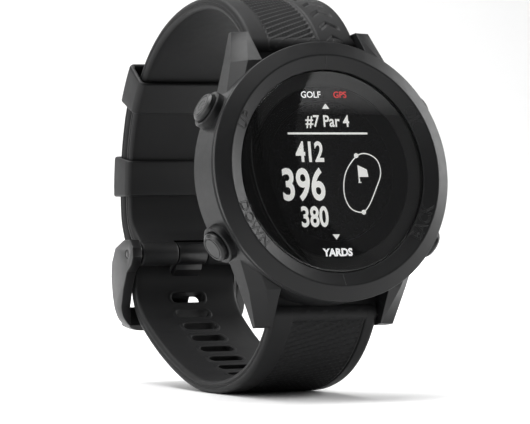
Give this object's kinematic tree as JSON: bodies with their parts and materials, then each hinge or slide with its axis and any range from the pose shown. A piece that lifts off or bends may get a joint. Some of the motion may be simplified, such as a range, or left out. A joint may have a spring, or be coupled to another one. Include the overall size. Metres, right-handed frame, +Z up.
{
  "type": "golf gps watch",
  "caption": "Round golf GPS wrist watch with side push buttons, a glass-covered colour screen and a closed quick-release silicone strap with buckle and keepers.",
  "frame": {"origin": "on the floor under the middle of the watch's bounding box, as it stands on its closed strap", "axes": "+Z up, +X towards 3 o'clock, the dial looks along -Y and leans back 10.16 degrees"},
  "size_m": [0.0436, 0.0678, 0.0676],
  "materials": {
    "case_polymer": "fine spark texture, matte black",
    "bezel_polymer": "fine matte black with a faint sheen on the ridge",
    "cover_polymer": "matte black moulded back",
    "button_polymer": "matte black",
    "lens_glass": "clear toughened glass, glossy",
    "lens_black": "black ink border",
    "display": "colour screen behind the glass",
    "light_guide": "white diffuser",
    "inner_frame": "moulded inner frame",
    "circuit_board": "solder mask",
    "shield_metal": "stamped shield",
    "chip_black": "moulded package",
    "antenna_ceramic": "fired ceramic block",
    "battery_foil": "foil pouch",
    "seal_rubber": "soft seal",
    "steel": "small stainless part",
    "contact_block": "insert",
    "contact_metal": "gold-plated contact",
    "strap_silicone": "matte black silicone, fine texture",
    "keeper_silicone": "matte black silicone",
    "buckle_metal": "satin black"
  },
  "bodies": {
    "head": {"back_button_spring": "steel", "back_cover": "cover_polymer", "back_cover_gasket": "seal_rubber", "back_cover_screws": "steel", "back_switch": "chip_black", "battery": "battery_foil", "battery_bracket": "inner_frame", "bezel_ring": "bezel_polymer", "case_shell": "case_polymer", "charging_contact_block": "contact_block", "charging_contacts": "contact_metal", "display_frame": "inner_frame", "display_light_guide": "light_guide", "display_panel": "display", "down_button_spring": "steel", "down_switch": "chip_black", "gps_antenna": "antenna_ceramic", "gps_receiver_chip": "chip_black", "lens": "lens_glass", "lens_gasket": "seal_rubber", "lens_mask_ring": "lens_black", "lower_release_spring": "steel", "lower_spring_bar": "steel", "lower_strap": "strap_silicone", "main_pcb": "circuit_board", "ok_button_spring": "steel", "ok_switch": "chip_black", "processor_shield_can": "shield_metal", "up_button_spring": "steel", "up_switch": "chip_black", "upper_release_spring": "steel", "upper_spring_bar": "steel", "upper_strap": "strap_silicone"},
    "buckle": {"buckle_frame": "buckle_metal", "buckle_pin": "steel"},
    "tongue": {"buckle_tongue": "buckle_metal"},
    "free_keeper": {"free_keeper": "keeper_silicone"},
    "fixed_keeper": {"fixed_keeper": "keeper_silicone"},
    "upper_release_pin": {"upper_release_pin": "steel"},
    "lower_release_pin": {"lower_release_pin": "steel"},
    "up_button": {"up_button": "button_polymer", "up_button_seal": "seal_rubber", "up_button_clip": "steel"},
    "down_button": {"down_button": "button_polymer", "down_button_seal": "seal_rubber", "down_button_clip": "steel"},
    "ok_button": {"ok_button": "button_polymer", "ok_button_seal": "seal_rubber", "ok_button_clip": "steel"},
    "back_button": {"back_button": "button_polymer", "back_button_seal": "seal_rubber", "back_button_clip": "steel"}
  },
  "joints": [
    {"name": "ok_button_press", "type": "slide", "parent": "head", "child": "ok_button", "axis": [-0.866, -0.0882, -0.4922], "range_m": [0, 0.0007], "stiffness_N_per_m": 600, "springref_m": -0.0012, "deforming": ["ok_button_spring"]},
    {"name": "up_button_press", "type": "slide", "parent": "head", "child": "up_button", "axis": [0.866, -0.0882, -0.4922], "range_m": [0, 0.0007], "stiffness_N_per_m": 600, "springref_m": -0.0012, "deforming": ["up_button_spring"]},
    {"name": "down_button_press", "type": "slide", "parent": "head", "child": "down_button", "axis": [0.866, 0.0882, 0.4922], "range_m": [0, 0.0007], "stiffness_N_per_m": 600, "springref_m": -0.0012, "deforming": ["down_button_spring"]},
    {"name": "back_button_press", "type": "slide", "parent": "head", "child": "back_button", "axis": [-0.866, 0.0882, 0.4922], "range_m": [0, 0.0007], "stiffness_N_per_m": 600, "springref_m": -0.0012, "deforming": ["back_button_spring"]},
    {"name": "upper_quick_release", "type": "slide", "parent": "head", "child": "upper_release_pin", "axis": [1, 0, 0], "range_m": [0, 0.0012], "stiffness_N_per_m": 500, "springref_m": -0.001, "deforming": ["upper_release_spring"]},
    {"name": "lower_quick_release", "type": "slide", "parent": "head", "child": "lower_release_pin", "axis": [1, 0, 0], "range_m": [0, 0.0012], "stiffness_N_per_m": 500, "springref_m": -0.001, "deforming": ["lower_release_spring"]},
    {"name": "free_keeper_slide", "type": "hinge", "parent": "head", "child": "free_keeper", "pos_m": [0, 0.00024, 0.03684], "axis": [1, 0, 0], "range_deg": [-2.5, 2.5]},
    {"name": "fixed_keeper_slide", "type": "hinge", "parent": "head", "child": "fixed_keeper", "pos_m": [0, -0.00946, 0.03442], "axis": [1, 0, 0], "range_deg": [-2.5, 2.5]},
    {"name": "buckle_hinge", "type": "hinge", "parent": "head", "child": "buckle", "pos_m": [0, 0.02477, 0.02304], "axis": [1, 0, 0], "range_deg": [0, 4]},
    {"name": "tongue_hinge", "type": "hinge", "parent": "buckle", "child": "tongue", "pos_m": [0, 0.02477, 0.02304], "axis": [1, 0, 0], "range_deg": [0, 3]}
  ]
}
